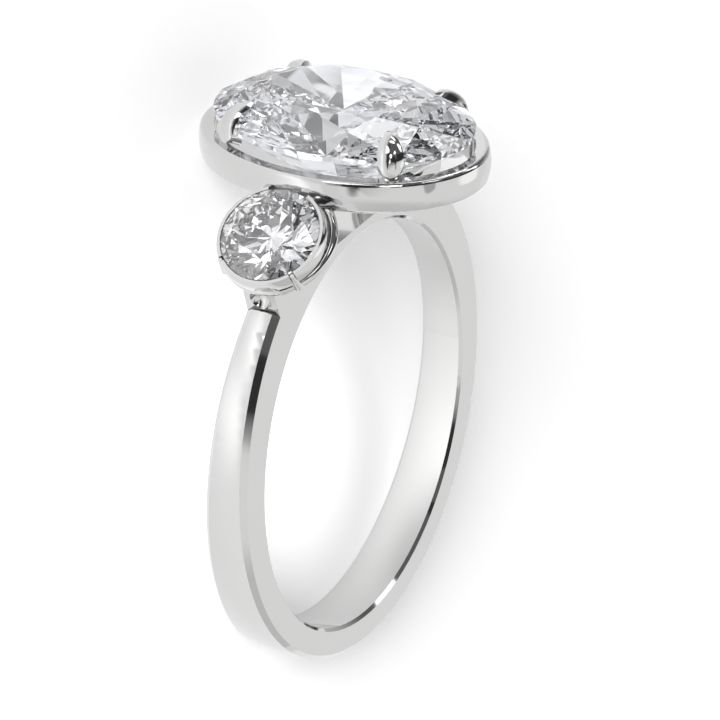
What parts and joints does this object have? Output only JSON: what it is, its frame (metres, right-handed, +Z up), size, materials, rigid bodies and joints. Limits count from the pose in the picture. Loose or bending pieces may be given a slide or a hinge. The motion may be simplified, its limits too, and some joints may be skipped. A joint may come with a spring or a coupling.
{
  "type": "three stone ring",
  "caption": "Ring with an oval centre stone in a collar with claws and a smaller round stone in a half-bezel cup on each shoulder.",
  "frame": {"origin": "middle of the box round the lying ring, at the height of the floor it rests on", "axes": "+X from the left stone to the right stone as the ring is worn, +Y from the shank's bottom to the head, +Z up"},
  "size_m": [0.02, 0.024, 0.0117],
  "materials": {
    "white_metal": "polished white gold",
    "centre_gem": "clear cut stone with flat polished facets",
    "side_gem": "clear cut stone with flat polished facets"
  },
  "bodies": {
    "root": {"mounting": "white_metal", "centre_stone": "centre_gem", "side_stone_left": "side_gem", "side_stone_right": "side_gem"}
  },
  "joints": []
}
